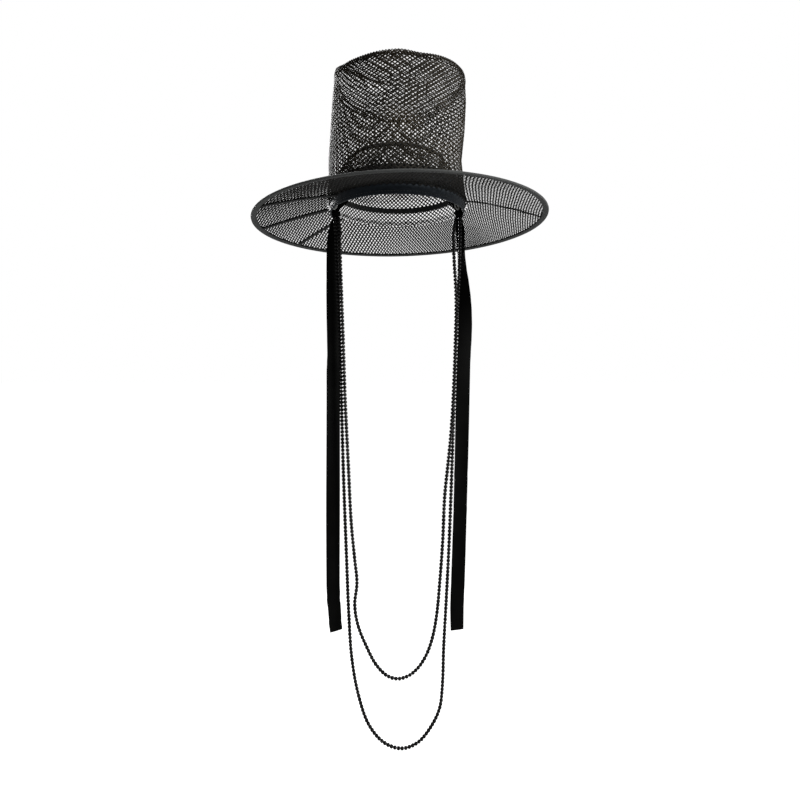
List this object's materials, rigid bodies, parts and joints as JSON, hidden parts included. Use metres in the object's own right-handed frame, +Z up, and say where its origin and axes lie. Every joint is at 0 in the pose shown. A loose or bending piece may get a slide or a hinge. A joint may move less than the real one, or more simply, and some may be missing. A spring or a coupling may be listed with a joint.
{
  "type": "korean gat hat",
  "caption": "Black open-mesh Korean gat with a tall crown, wide brim, headband, hanging satin ribbons and strings of round beads.",
  "frame": {"origin": "middle of the head opening, level with the join of the brim and the crown", "axes": "+Z up along the crown, -Y the way the wearer looks, +X to the right in the picture, the wearer's left"},
  "size_m": [0.374, 0.374, 0.8709],
  "materials": {
    "mesh": "stiffened open diagonal mesh of dark threads",
    "tape": "dull woven binding tape",
    "band": "smooth blue-black lining cloth",
    "satin": "black satin ribbon",
    "bead": "polished black beads"
  },
  "bodies": {
    "root": {"crown_wall": "mesh", "crown_top": "mesh", "top_seam_tape": "tape", "brim": "mesh", "rim_binding": "tape", "brim_stay_left_front": "tape", "brim_stay_left_side": "tape", "brim_stay_left_back": "tape", "brim_stay_right_side": "tape", "inner_band": "mesh", "inner_band_foot_tape": "tape", "inner_band_ring_tape": "tape", "headband": "band", "tie_knot_left": "satin", "tie_knot_right": "satin", "ribbon_left": "satin", "ribbon_right": "satin", "bead_string_long": "bead", "bead_string_short": "bead"}
  },
  "joints": []
}
